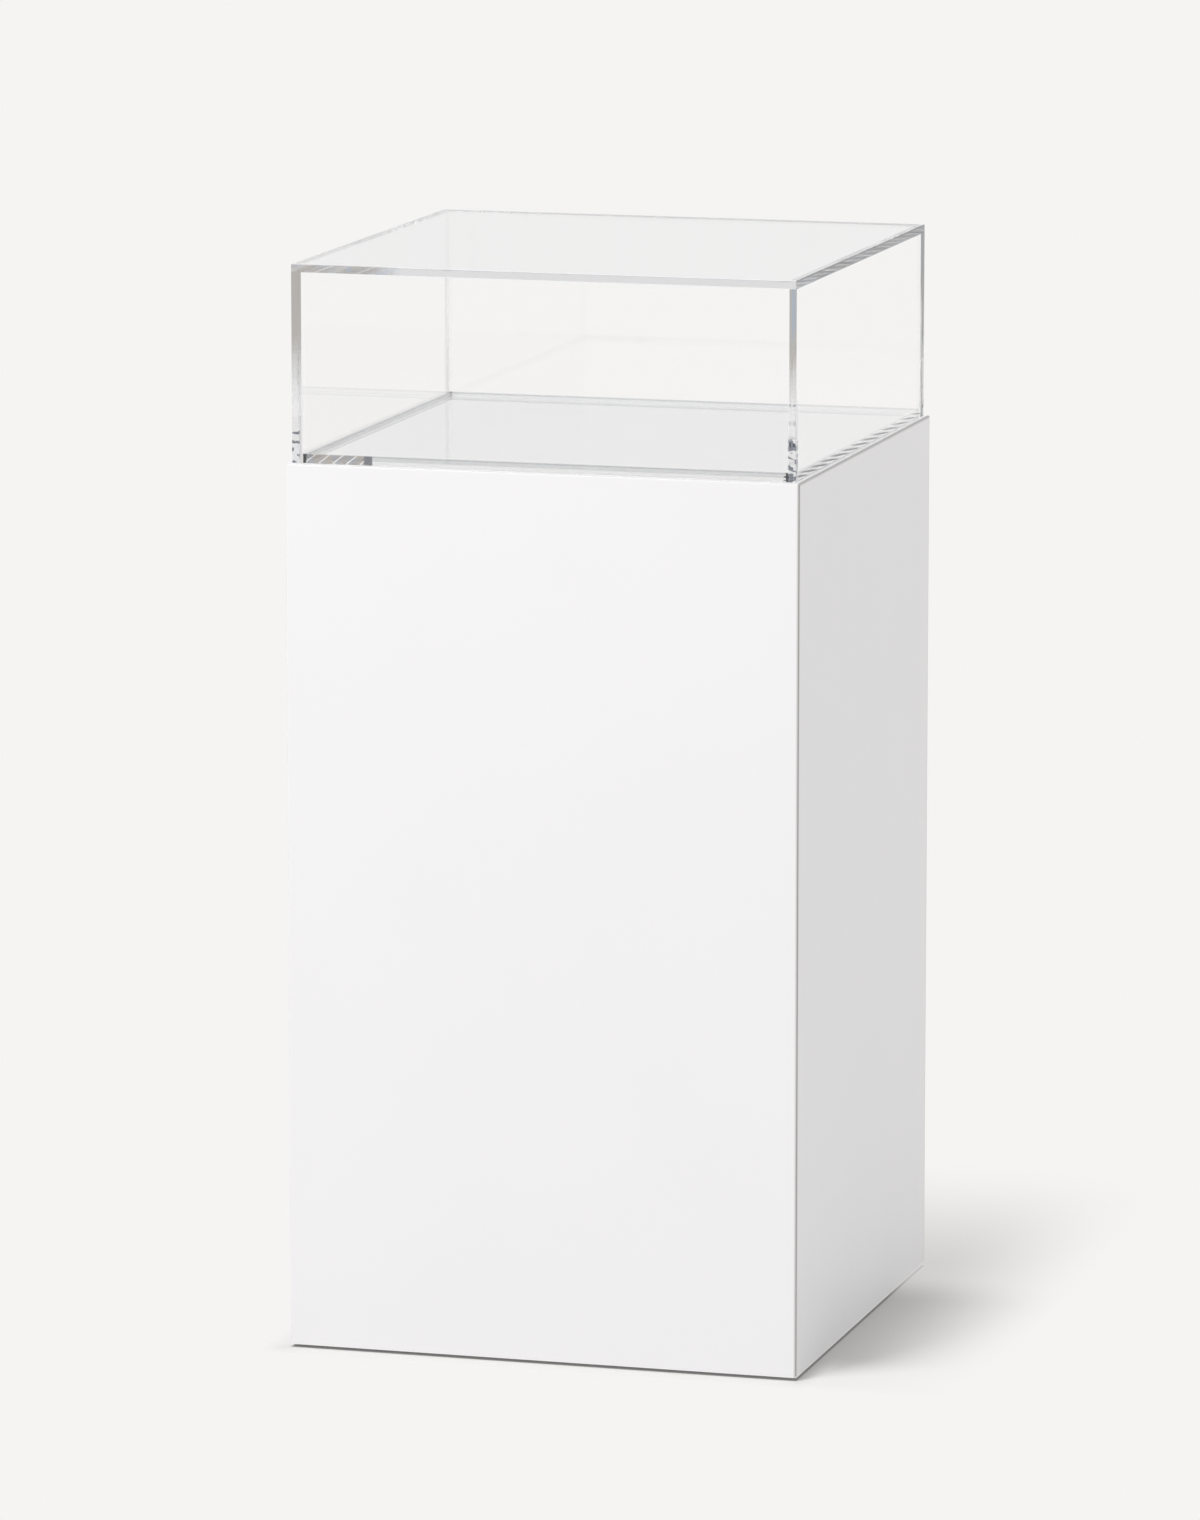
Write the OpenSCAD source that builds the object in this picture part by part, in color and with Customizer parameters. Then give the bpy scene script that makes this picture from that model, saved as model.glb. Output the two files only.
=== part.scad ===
// Pedestal display case: a white lacquered plinth that carries a lift-off clear cover.
// Millimetres, +Z up. The origin lies on the floor, under the middle of the plinth.
// The front faces -Y and the right side faces +X.

/* [Plinth] */
// Outside width of the plinth, left to right
plinth_w = 500; // [400:10:700]
// Outside depth of the plinth, front to back
plinth_d = 500; // [400:10:700]
// Height of the side panels
panel_h = 850; // [600:10:1100]
// Thickness of the lacquered panels
panel_t = 18; // [16:1:25]
// Width of the flat that eases the outer edges
edge_ease = 1.5; // [0.5:0.25:3]
// Shadow gap between the panels and the floor
floor_gap = 3; // [2:0.5:6]

/* [Cover] */
// Margin of bare plinth around the cover
cover_inset = 5; // [2:0.5:12]
// Height of the cover's walls
wall_h = 180; // [120:5:400]
// Thickness of the cover's sheets
sheet_t = 8; // [5:0.5:12]
// Width of the polished arris on the cover's outer edges
arris = 0.8; // [0.4:0.1:1.5]

/* [Locating strips] */
// Thickness of the clear strips that locate the cover
strip_t = 3; // [2:0.5:6]
// Height of the clear strips
strip_h = 8; // [6:0.5:16]
// Clearance between the strips and the cover's walls, each side
strip_gap = 0.75; // [0.5:0.25:2]
// Width of the arris along the top of a strip
strip_arris = 0.3; // [0.2:0.1:0.5]

/* [Base plate] */
// Thickness of the clear plate that lies inside the strips
plate_t = 4; // [2:0.5:5]
// Clearance between the plate and the strips, each side
plate_gap = 0.25; // [0.1:0.05:0.5]
// Width of the arris around the top of the plate
plate_arris = 0.4; // [0.2:0.1:1]

/* [Inner frame] */
// Side of the square corner battens
batten_w = 30; // [20:1:40]
// Depth of the cleats that carry the deck
cleat_w = 30; // [20:1:40]
// Height of the cleats that carry the deck
cleat_h = 28; // [20:1:40]
// Height of the rails around the base
rail_h = 60; // [40:5:100]
// Thickness of the rails around the base
rail_t = 18; // [15:1:25]
// Height of the base frame above the lower edge of the panels
frame_recess = 17; // [16:1:25]
// Side of the square blocks that hold the feet
block_w = 90; // [80:5:110]
// Thickness of the blocks that hold the feet
block_t = 30; // [24:1:36]
// Height of the middle rib above the floor
rib_z = 440; // [200:10:480]
// Thickness of the middle rib
rib_t = 12; // [9:1:18]
// Diameter of the hand hole in the middle rib
rib_hole_d = 90; // [60:5:100]

/* [Levelling feet] */
// Distance of each foot's axis from the inner faces of the panels
foot_inset = 52; // [46:1:58]
// Diameter of the foot pad
pad_d = 38; // [30:1:44]
// Height of the foot pad
pad_h = 8; // [7:0.5:10]
// Thickness of the pad under the stem's spigot
pad_floor = 2.5; // [1.5:0.5:3]
// Diameter of the raised ring on the pad
pad_boss_d = 18; // [15:1:22]
// Diameter of the spigot that turns in the pad
spigot_d = 9; // [8:0.5:10]
// Height that the snap bead stands out of the spigot
bead_out = 0.5; // [0.3:0.1:0.7]
// Width of the snap bead
bead_w = 1.6; // [1:0.2:2]
// Width across the flats of the hexagon collar
collar_af = 13; // [13:1:17]
// Height of the hexagon collar
collar_h = 5; // [4:0.5:6]
// Gap between the pad and the collar
swivel_gap = 0.3; // [0.2:0.1:0.5]
// Outer diameter of the threaded stem
stem_d = 8; // [6:1:10]
// Length of the threaded stem above the collar
stem_l = 47; // [44:1:60]
// Bevel at the tip of the stem
stem_bevel = 1; // [0.5:0.25:1.5]
// Running clearance of the spigot and the stem, on the radius
turn_fit = 0.05; // [0.03:0.01:0.1]

/* [Threaded inserts] */
// Outside diameter of the insert's barrel
insert_d = 12; // [12:0.5:14]
// Length of the insert's barrel
insert_l = 16; // [12:1:20]
// Diameter of the insert's flange
flange_d = 24; // [20:1:28]
// Thickness of the insert's flange
flange_t = 1.5; // [1:0.25:2]

/* [Wood screws] */
// Diameter of the screw's shank
screw_d = 4; // [3:0.5:5]
// Diameter of the countersunk head
screw_head_d = 8; // [7:0.5:9]
// Depth to which the rail and cleat screws enter a panel
screw_bite = 12; // [9:0.5:12.5]
// Depth to which the block screws enter a batten
batten_bite = 30; // [20:1:40]
// Number of screws along each cleat and each rail
screws_a_side = 3; // [2:1:5]
// Clearance around a screw or an insert, on the radius
hole_gap = 0.1; // [0.05:0.05:0.3]
// Width of the cross recess in a screw head
recess_w = 1.2; // [0.8:0.1:1.4]

/* [Hidden] */
$fn = 48;
eps = 0.01;                                   // lets a cutter pass through a face

deck_z = floor_gap + panel_h;                 // top of the plinth
under_deck_z = deck_z - panel_t;              // underside of the deck panel
inner_w = plinth_w - 2 * panel_t;             // clear width inside the panels
inner_d = plinth_d - 2 * panel_t;             // clear depth inside the panels
cover_w = plinth_w - 2 * cover_inset;
cover_d = plinth_d - 2 * cover_inset;
wall_top_z = deck_z + wall_h;                 // underside of the cover's top sheet
strips_w = cover_w - 2 * (sheet_t + strip_gap);  // over the outer faces of the strips
strips_d = cover_d - 2 * (sheet_t + strip_gap);
plate_w = strips_w - 2 * (strip_t + plate_gap);
plate_d = strips_d - 2 * (strip_t + plate_gap);
frame_z = floor_gap + frame_recess;           // underside of the base frame
block_top_z = frame_z + block_t;              // seat of the battens
cleat_z = under_deck_z - cleat_h;             // underside of the deck cleats
collar_z = pad_h + swivel_gap;
stem_z = collar_z + collar_h;
head_h = (screw_head_d - screw_d) / 2;        // 90 degree countersink

lacquer_white = [0.95, 0.95, 0.945];
clear_tint = [0.80, 0.90, 0.93, 0.35];
softwood = [0.84, 0.72, 0.54];
board_brown = [0.68, 0.56, 0.42];
zinc_grey = [0.70, 0.72, 0.74];
pad_grey = [0.16, 0.16, 0.17];

// Signs of the four corners: [x, y]
front_left = [-1, -1];
front_right = [1, -1];
back_left = [-1, 1];
back_right = [1, 1];
corners = [front_left, front_right, back_left, back_right];

// Quarter turns about Z that bring the front side to each side
front = 0;
right = 90;
back = 180;
left = 270;
sides = [front, right, back, left];

// Length of a side as seen from outside, and the size square to it, on any box
function along(turn, w, d) = turn == front || turn == back ? w : d;
function across(turn, w, d) = along(turn + 90 == 360 ? 0 : turn + 90, w, d);

// A point that lies a given distance in from both inner faces at a corner
function in_corner(corner, inset) = [corner[0] * (inner_w / 2 - inset), corner[1] * (inner_d / 2 - inset)];

// Even places for screws along a length, with a half pitch at each end
function screw_places(length) =
    [for (i = [0 : screws_a_side - 1]) length * ((i + 0.5) / screws_a_side - 0.5)];

// Draws an outline in Y and Z and carries it along X, centred
module along_x(length) {
    rotate([90, 0, 90]) linear_extrude(length, center = true) children();
}

// Draws an outline in X and Z and carries it along Y, centred
module along_y(length) {
    rotate([90, 0, 0]) linear_extrude(length, center = true) children();
}

// A board with its lowest corner at p
module board(p, size) {
    translate(p) cube(size);
}

// Countersunk wood screw: the head's face at the origin, the tip up +Z
module wood_screw(length) {
    tip = screw_d;
    difference() {
        rotate_extrude() polygon([
            [0, 0], [screw_head_d / 2, 0], [screw_d / 2, head_h],
            [screw_d / 2, length - tip], [0, length]
        ]);
        for (turn = [0, 90]) rotate(turn)
            translate([-screw_head_d * 0.3, -recess_w / 2, -eps]) cube([screw_head_d * 0.6, recess_w, head_h]);
    }
}

// Hole for that screw, a little wider and deeper
module screw_hole(length) {
    head_r = screw_head_d / 2 + hole_gap;
    shank_r = screw_d / 2 + hole_gap;
    rotate_extrude() polygon([
        [0, -eps], [head_r, -eps], [head_r, 0], [shank_r, head_h],
        [shank_r, length + hole_gap], [0, length + hole_gap]
    ]);
}

// Places children at the screws that come up through a side's deck cleat
module at_cleat_screws(turn) {
    span = along(turn, inner_w, inner_d) - 2 * batten_w;
    face = across(turn, inner_w, inner_d) / 2;
    for (x = screw_places(span))
        rotate(turn) translate([x, cleat_w / 2 - face, cleat_z]) children();
}

// Places children at the screws that go out through a side's base rail
module at_rail_screws(turn) {
    span = along(turn, inner_w, inner_d) - 2 * block_w;
    face = across(turn, inner_w, inner_d) / 2;
    for (x = screw_places(span))
        rotate(turn) translate([x, rail_t - face, frame_z + rail_h / 2]) rotate([90, 0, 0]) children();
}

// Places children at the screw that goes up through a foot block into its batten
module at_block_screw(corner) {
    translate(concat(in_corner(corner, batten_w / 2), frame_z)) children();
}

// ---- cover ----

// A wall that runs the full width, with an arris on its two outer upright edges
module cover_face(turn) {
    w = cover_w / 2;
    d = cover_d / 2;
    color(clear_tint) rotate(turn) translate([0, 0, deck_z]) linear_extrude(wall_h) polygon([
        [-w, sheet_t - d], [-w, arris - d], [arris - w, -d],
        [w - arris, -d], [w, arris - d], [w, sheet_t - d]
    ]);
}

// A wall that stands between the front and back walls
module cover_end(side) {
    x0 = side * (cover_w / 2 - sheet_t / 2) - sheet_t / 2;
    color(clear_tint) board([x0, sheet_t - cover_d / 2, deck_z], [sheet_t, cover_d - 2 * sheet_t, wall_h]);
}

// Outline of the top sheet across one of its spans, with the arris on its upper edges
function top_section(span) = [
    [-span / 2, wall_top_z], [span / 2, wall_top_z], [span / 2, wall_top_z + sheet_t - arris],
    [span / 2 - arris, wall_top_z + sheet_t], [arris - span / 2, wall_top_z + sheet_t],
    [-span / 2, wall_top_z + sheet_t - arris]
];

module cover_top() {
    w = cover_w / 2;
    d = cover_d / 2;
    color(clear_tint) intersection() {
        along_x(cover_w) polygon(top_section(cover_d));
        along_y(cover_d) polygon(top_section(cover_w));
        translate([0, 0, wall_top_z]) linear_extrude(sheet_t) polygon([
            [arris - w, -d], [w - arris, -d], [w, arris - d], [w, d - arris],
            [w - arris, d], [arris - w, d], [-w, d - arris], [-w, arris - d]
        ]);
    }
}

// ---- locating strips and base plate ----

// A strip on its edge along one side of the deck. The front and back strips run the full width.
module locating_strip(turn) {
    d = across(turn, strips_w, strips_d) / 2;
    length = along(turn, strips_w, strips_d) - (turn == front || turn == back ? 0 : 2 * strip_t);
    top = deck_z + strip_h;
    color(clear_tint) rotate(turn) along_x(length) polygon([
        [-d, deck_z], [strip_t - d, deck_z], [strip_t - d, top - strip_arris],
        [strip_t - strip_arris - d, top], [strip_arris - d, top], [-d, top - strip_arris]
    ]);
}

// Outline of the plate across one of its spans
function plate_section(span) = [
    [-span / 2, deck_z], [span / 2, deck_z], [span / 2, deck_z + plate_t - plate_arris],
    [span / 2 - plate_arris, deck_z + plate_t], [plate_arris - span / 2, deck_z + plate_t],
    [-span / 2, deck_z + plate_t - plate_arris]
];

module base_plate() {
    color(clear_tint) intersection() {
        along_x(plate_w) polygon(plate_section(plate_d));
        along_y(plate_d) polygon(plate_section(plate_w));
    }
}

// ---- lacquered panels, mitred on every outer edge ----

// The front panel of a plinth of a given width and depth, turned to its side
module wall_panel(turn) {
    w = along(turn, plinth_w, plinth_d) / 2;
    d = across(turn, plinth_w, plinth_d) / 2;
    half = edge_ease / 2;
    color(lacquer_white) difference() {
        rotate(turn) intersection() {
            translate([0, 0, floor_gap]) linear_extrude(panel_h) polygon([
                [edge_ease - w, -d], [w - edge_ease, -d], [w - half, half - d],
                [w - panel_t, panel_t - d], [panel_t - w, panel_t - d], [half - w, half - d]
            ]);
            along_x(2 * w) polygon([
                [-d, floor_gap], [panel_t - d, floor_gap], [panel_t - d, under_deck_z],
                [half - d, deck_z - half], [-d, deck_z - edge_ease]
            ]);
        }
        at_rail_screws(turn) screw_hole(rail_t + screw_bite);
    }
}

// Outline of the deck across one of its spans
function deck_section(span) = [
    [panel_t - span / 2, under_deck_z], [span / 2 - panel_t, under_deck_z],
    [span / 2 - edge_ease / 2, deck_z - edge_ease / 2], [span / 2 - edge_ease, deck_z],
    [edge_ease - span / 2, deck_z], [edge_ease / 2 - span / 2, deck_z - edge_ease / 2]
];

module deck_panel() {
    color(lacquer_white) difference() {
        intersection() {
            along_x(plinth_w) polygon(deck_section(plinth_d));
            along_y(plinth_d) polygon(deck_section(plinth_w));
        }
        for (turn = sides) at_cleat_screws(turn) screw_hole(cleat_h + screw_bite);
    }
}

// ---- inner frame ----

// A corner batten, from its foot block up to the deck
module batten(corner) {
    length = under_deck_z - block_top_z;
    p = in_corner(corner, batten_w / 2);
    color(softwood) difference() {
        translate([p[0], p[1], block_top_z + length / 2]) cube([batten_w, batten_w, length], center = true);
        at_block_screw(corner) screw_hole(block_t + batten_bite);
    }
}

// A cleat under the deck's edge, between two battens
module deck_cleat(turn) {
    span = along(turn, inner_w, inner_d) - 2 * batten_w;
    face = across(turn, inner_w, inner_d) / 2;
    color(softwood) difference() {
        rotate(turn) board([-span / 2, -face, cleat_z], [span, cleat_w, cleat_h]);
        at_cleat_screws(turn) screw_hole(cleat_h + screw_bite);
    }
}

// A rail along the foot of a panel, between two foot blocks
module base_rail(turn) {
    span = along(turn, inner_w, inner_d) - 2 * block_w;
    face = across(turn, inner_w, inner_d) / 2;
    color(softwood) difference() {
        rotate(turn) board([-span / 2, -face, frame_z], [span, rail_t, rail_h]);
        at_rail_screws(turn) screw_hole(rail_t + screw_bite);
    }
}

// A block in a lower corner, bored for the insert and its foot
module foot_block(corner) {
    p = in_corner(corner, block_w / 2);
    color(board_brown) difference() {
        translate([p[0], p[1], frame_z + block_t / 2]) cube([block_w, block_w, block_t], center = true);
        translate(concat(in_corner(corner, foot_inset), frame_z - eps))
            cylinder(h = block_t + 2 * eps, d = insert_d + 2 * hole_gap);
        at_block_screw(corner) screw_hole(block_t + batten_bite);
    }
}

// The stiffening rib half way up, notched around the battens
module middle_rib() {
    color(board_brown) difference() {
        board([-inner_w / 2, -inner_d / 2, rib_z], [inner_w, inner_d, rib_t]);
        for (corner = corners) {
            p = in_corner(corner, batten_w / 2);
            translate([p[0] + corner[0], p[1] + corner[1], rib_z + rib_t / 2])
                cube([batten_w + 2, batten_w + 2, rib_t + 2], center = true);
        }
        translate([0, 0, rib_z - eps]) cylinder(h = rib_t + 2 * eps, d = rib_hole_d);
    }
}

// ---- fasteners ----

// Flanged inserts, pressed up into the foot blocks
module threaded_inserts() {
    bore_r = stem_d / 2 + turn_fit;
    color(zinc_grey) for (corner = corners)
        translate(concat(in_corner(corner, foot_inset), frame_z)) rotate_extrude() polygon([
            [bore_r, -flange_t], [flange_d / 2, -flange_t], [flange_d / 2, 0],
            [insert_d / 2, 0], [insert_d / 2, insert_l], [bore_r, insert_l]
        ]);
}

module deck_cleat_screws() {
    color(zinc_grey) for (turn = sides) at_cleat_screws(turn) wood_screw(cleat_h + screw_bite);
}

module base_rail_screws() {
    color(zinc_grey) for (turn = sides) at_rail_screws(turn) wood_screw(rail_t + screw_bite);
}

module foot_block_screws() {
    color(zinc_grey) for (corner = corners) at_block_screw(corner) wood_screw(block_t + batten_bite);
}

// ---- levelling feet ----

// The pad stands on the floor and holds the stem's spigot with a snap groove
module foot_pad(corner) {
    r = pad_d / 2;
    rim = 1;                                  // bevel under the rim
    rim_h = pad_h * 0.4;                      // height of the rim's upright face
    socket_r = spigot_d / 2 + turn_fit;
    groove_r = socket_r + bead_out;
    mid = (pad_floor + pad_h) / 2;
    groove = bead_w / 2 + turn_fit;
    color(pad_grey) translate(in_corner(corner, foot_inset)) rotate_extrude() polygon([
        [0, 0], [r - rim, 0], [r, rim], [r, rim_h], [pad_boss_d / 2, pad_h], [socket_r, pad_h],
        [socket_r, mid + groove + bead_out], [groove_r, mid + groove],
        [groove_r, mid - groove], [socket_r, mid - groove - bead_out],
        [socket_r, pad_floor], [0, pad_floor]
    ]);
}

// The stem turns in the pad and screws up and down in the insert
module foot_stem(corner) {
    spigot_r = spigot_d / 2;
    bead_r = spigot_r + bead_out;
    mid = (pad_floor + pad_h) / 2;
    bead = bead_w / 2;
    color(zinc_grey) translate(in_corner(corner, foot_inset)) {
        union() {
            rotate_extrude() polygon([
                [0, pad_floor], [spigot_r, pad_floor], [spigot_r, mid - bead - bead_out],
                [bead_r, mid - bead], [bead_r, mid + bead], [spigot_r, mid + bead + bead_out],
                [spigot_r, stem_z - collar_h / 2], [stem_d / 2, stem_z - collar_h / 2],
                [stem_d / 2, stem_z + stem_l - stem_bevel],
                [stem_d / 2 - stem_bevel, stem_z + stem_l], [0, stem_z + stem_l]
            ]);
            translate([0, 0, collar_z]) cylinder(h = collar_h, d = collar_af / cos(30), $fn = 6);
        }
    }
}

cover_top();
cover_face(front);  // cover_front
cover_face(back);  // cover_back
cover_end(-1);  // cover_left
cover_end(1);  // cover_right
locating_strip(front);  // locating_strip_front
locating_strip(back);  // locating_strip_back
locating_strip(left);  // locating_strip_left
locating_strip(right);  // locating_strip_right
base_plate();
deck_panel();
wall_panel(front);  // front_panel
wall_panel(back);  // back_panel
wall_panel(left);  // left_panel
wall_panel(right);  // right_panel
batten(front_left);  // batten_front_left
batten(front_right);  // batten_front_right
batten(back_left);  // batten_back_left
batten(back_right);  // batten_back_right
deck_cleat(front);  // deck_cleat_front
deck_cleat(back);  // deck_cleat_back
deck_cleat(left);  // deck_cleat_left
deck_cleat(right);  // deck_cleat_right
base_rail(front);  // base_rail_front
base_rail(back);  // base_rail_back
base_rail(left);  // base_rail_left
base_rail(right);  // base_rail_right
foot_block(front_left);  // foot_block_front_left
foot_block(front_right);  // foot_block_front_right
foot_block(back_left);  // foot_block_back_left
foot_block(back_right);  // foot_block_back_right
middle_rib();
threaded_inserts();
deck_cleat_screws();
base_rail_screws();
foot_block_screws();
foot_pad(front_left);  // foot_pad_front_left
foot_pad(front_right);  // foot_pad_front_right
foot_pad(back_left);  // foot_pad_back_left
foot_pad(back_right);  // foot_pad_back_right
foot_stem(front_left);  // foot_stem_front_left
foot_stem(front_right);  // foot_stem_front_right
foot_stem(back_left);  // foot_stem_back_left
foot_stem(back_right);  // foot_stem_back_right
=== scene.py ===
import math

import bmesh
import bpy
import numpy as np
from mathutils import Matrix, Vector


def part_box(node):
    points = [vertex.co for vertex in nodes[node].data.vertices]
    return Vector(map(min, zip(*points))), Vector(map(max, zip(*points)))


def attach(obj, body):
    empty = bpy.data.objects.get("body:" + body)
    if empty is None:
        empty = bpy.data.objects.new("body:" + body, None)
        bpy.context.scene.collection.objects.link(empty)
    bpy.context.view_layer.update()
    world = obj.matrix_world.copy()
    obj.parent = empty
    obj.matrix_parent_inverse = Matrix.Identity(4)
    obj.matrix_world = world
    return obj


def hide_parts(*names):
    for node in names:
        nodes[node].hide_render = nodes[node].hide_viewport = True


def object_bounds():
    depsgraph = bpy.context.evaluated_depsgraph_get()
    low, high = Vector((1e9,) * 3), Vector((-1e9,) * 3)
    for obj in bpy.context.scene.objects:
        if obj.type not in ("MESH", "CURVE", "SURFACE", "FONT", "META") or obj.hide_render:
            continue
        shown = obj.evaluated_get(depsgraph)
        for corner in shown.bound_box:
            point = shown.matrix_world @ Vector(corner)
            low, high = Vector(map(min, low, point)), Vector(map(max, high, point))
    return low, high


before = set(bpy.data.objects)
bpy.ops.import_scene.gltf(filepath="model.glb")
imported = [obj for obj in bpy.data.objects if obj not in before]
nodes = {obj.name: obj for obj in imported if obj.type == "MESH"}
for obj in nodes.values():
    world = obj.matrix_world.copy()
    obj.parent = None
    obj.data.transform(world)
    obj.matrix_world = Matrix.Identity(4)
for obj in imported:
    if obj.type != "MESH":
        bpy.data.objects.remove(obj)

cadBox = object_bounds()
halfWidth = cadBox[1].x
halfDepth = cadBox[1].y
corners = ("front_left", "front_right", "back_left", "back_right")
sides = ("front", "right", "back", "left")


class Field:
    # Wraps one output socket, so that an expression on values adds its Math nodes.
    def __init__(self, paint, socket):
        self.paint = paint
        self.socket = socket

    def maths(self, operation, *values):
        return self.paint.node("ShaderNodeMath", {"operation": operation}, dict(enumerate(values)))

    def __add__(self, other):
        return self.maths("ADD", self, other)

    def __radd__(self, other):
        return self.maths("ADD", other, self)

    def __sub__(self, other):
        return self.maths("SUBTRACT", self, other)

    def __rsub__(self, other):
        return self.maths("SUBTRACT", other, self)

    def __mul__(self, other):
        return self.maths("MULTIPLY", self, other)

    def __rmul__(self, other):
        return self.maths("MULTIPLY", other, self)

    def __truediv__(self, other):
        return self.maths("DIVIDE", self, other)

    def __pow__(self, other):
        return self.maths("POWER", self, other)

    def __rpow__(self, other):
        return self.maths("POWER", other, self)

    def __abs__(self):
        return self.maths("ABSOLUTE", self)

    def atLeast(self, other):
        return self.maths("MAXIMUM", self, other)

    def isOver(self, other):
        return self.maths("GREATER_THAN", self, other)

    def fraction(self):
        return self.maths("FRACT", self)

    def smooth(self, low, high):
        # 0 below low, 1 above high, an even S between them
        return self.paint.node("ShaderNodeMapRange", {"interpolation_type": "SMOOTHSTEP"},
                               {"Value": self, "From Min": low, "From Max": high})

    def fade(self, low, high):
        # 1 below low, 0 above high
        return 1 - self.smooth(low, high)


class Paint:
    # A material's node tree: node() adds a node of any kind, and the rest are short forms of it.
    # Colours are given as red, green and blue.
    def __init__(self, holder):
        holder.use_nodes = True
        self.tree = holder.node_tree
        self.tree.nodes.clear()

    def node(self, kind, settings, values, output=0):
        made = self.tree.nodes.new(kind)
        for name, setting in settings.items():
            setattr(made, name, setting)
        for key, value in values.items():
            socket = made.inputs[key]
            if isinstance(value, Field):
                self.tree.links.new(value.socket, socket)
            else:
                socket.default_value = (*value, 1.0) if socket.type == "RGBA" else value
        return Field(self, made.outputs[output]) if made.outputs else None

    def objectPoint(self):
        return self.node("ShaderNodeTexCoord", {}, {}, "Object")

    def axes(self, point):
        return [self.node("ShaderNodeSeparateXYZ", {}, {0: point}, axis) for axis in "XYZ"]

    def stretched(self, point, scale, move=(0, 0, 0)):
        return self.node("ShaderNodeMapping", {}, {"Vector": point, "Scale": scale, "Location": move})

    def noise(self, point, scale, detail=2.0, roughness=0.5):
        return self.node("ShaderNodeTexNoise", {}, {
            "Vector": point, "Scale": scale, "Detail": detail, "Roughness": roughness})

    def blend(self, factor, first, second):
        return self.node("ShaderNodeMix", {"data_type": "RGBA"}, {"Factor": factor, 6: first, 7: second}, 2)

    def product(self, first, second):
        return self.node("ShaderNodeMix", {"data_type": "RGBA", "blend_type": "MULTIPLY"},
                         {"Factor": 1.0, 6: first, 7: second}, 2)

    def path(self, output):
        return self.node("ShaderNodeLightPath", {}, {}, output)

    def bump(self, height, strength, distance):
        return self.node("ShaderNodeBump", {}, {
            "Height": height, "Strength": strength, "Distance": distance})

    def principled(self, values):
        return self.node("ShaderNodeBsdfPrincipled", {}, values)

    def surface(self, shader, volume=None):
        values = {"Surface": shader} if volume is None else {"Surface": shader, "Volume": volume}
        self.node("ShaderNodeOutputMaterial", {}, values)


def newPaint(name):
    material = bpy.data.materials.new(name)
    return material, Paint(material)


def grey(level):
    return (level, level, level)


weldDistance = 1e-6              # points nearer than this are one point, in metres


# Makes a mesh object of whole arrays, closes its doubled points and turns its faces outwards.
def addPiece(name, points, faces, material, smoothAngle=None):
    mesh = bpy.data.meshes.new(name)
    mesh.from_pydata(points.tolist(), [], faces)
    work = bmesh.new()
    work.from_mesh(mesh)
    bmesh.ops.remove_doubles(work, verts=work.verts, dist=weldDistance)
    bmesh.ops.dissolve_degenerate(work, edges=work.edges, dist=weldDistance)
    bmesh.ops.recalc_face_normals(work, faces=work.faces)
    work.to_mesh(mesh)
    work.free()
    if smoothAngle is not None:
        mesh.shade_smooth()
        mesh.set_sharp_from_angle(angle=math.radians(smoothAngle))
    mesh.materials.append(material)
    piece = bpy.data.objects.new(name, mesh)
    bpy.context.scene.collection.objects.link(piece)
    return piece


# Quads between the rows of a grid of point numbers; a closed grid joins its last column to its first.
def gridFaces(rows, columns, closed=False):
    across = np.arange(columns if closed else columns - 1)
    down = np.arange(rows - 1)[:, None]
    beside = (across + 1) % columns
    quads = np.stack([
        down * columns + across, down * columns + beside,
        (down + 1) * columns + beside, (down + 1) * columns + across], axis=-1)
    return quads.reshape(-1, 4).tolist()


# A rectangle with cut corners: eight points, each at half a side less the cut along one of its axes.
def cutRectangle(halfX, halfY, cut, height, middle=(0.0, 0.0)):
    signX = np.array([1, 1, 1, -1, -1, -1, -1, 1])
    signY = np.array([-1, 1, 1, 1, 1, -1, -1, -1])
    cutsX = np.array([0, 0, 1, 1, 0, 0, 1, 1])
    x = middle[0] + signX * (halfX - cut * cutsX)
    y = middle[1] + signY * (halfY - cut * (1 - cutsX))
    return np.stack([x, y, np.full(signX.size, height)], axis=1)


# A closed body carried through a list of cut rectangles, capped at both ends.
def stackRings(rings):
    points = np.concatenate(rings)
    count = len(points)
    around = len(rings[0])
    faces = gridFaces(len(rings), around, closed=True)
    faces.append(list(range(around - 1, -1, -1)))
    faces.append(list(range(count - around, count)))
    return points, faces


lacquer = {
    "colour": (0.860, 0.853, 0.860),
    "mottle": 0.012,             # share by which the white drifts over a hand's width
    "mottleScale": 7.0,
    "roughness": 0.42,
    "roughnessSpread": 0.10,     # how far the roughness drifts round that
    "polishScale": 35.0,
    "ior": 1.48,
    "coat": 0.15,
    "coatRoughness": 0.25,
    "relief": 0.00002,           # height of the sprayed and rolled texture, in metres
    "reliefStrength": 0.35,
    "peelScale": 420.0,
    "peelShare": 0.6,            # height of the fine orange peel beside the roller's waves
    "rollScale": 45.0,
    "skin": 0.001,               # the outer layer that the painted highlight on one face alone is kept to
    "seamColour": (0.30, 0.29, 0.28),
    "seamShare": 0.85,           # how much of that colour the joint line takes, as painted shade
    "seamRoughness": 0.2,        # and how much rougher it is
    "seamReach": 0.0034,         # how far the joint line's painted shade darkens the edge, in metres
    "deckSeam": 0.0006,          # how far below the deck's edge its painted shade line lies
    "deckReach": 0.0030,
    "deckShare": 0.6,            # how dark the deck's painted shade line is beside the upright ones
    "footColour": (0.96, 0.96, 0.96),
    "footReach": 0.0030,         # how far up the foot of the right panel is painted paler, a painted highlight on its lower edge
}
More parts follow.
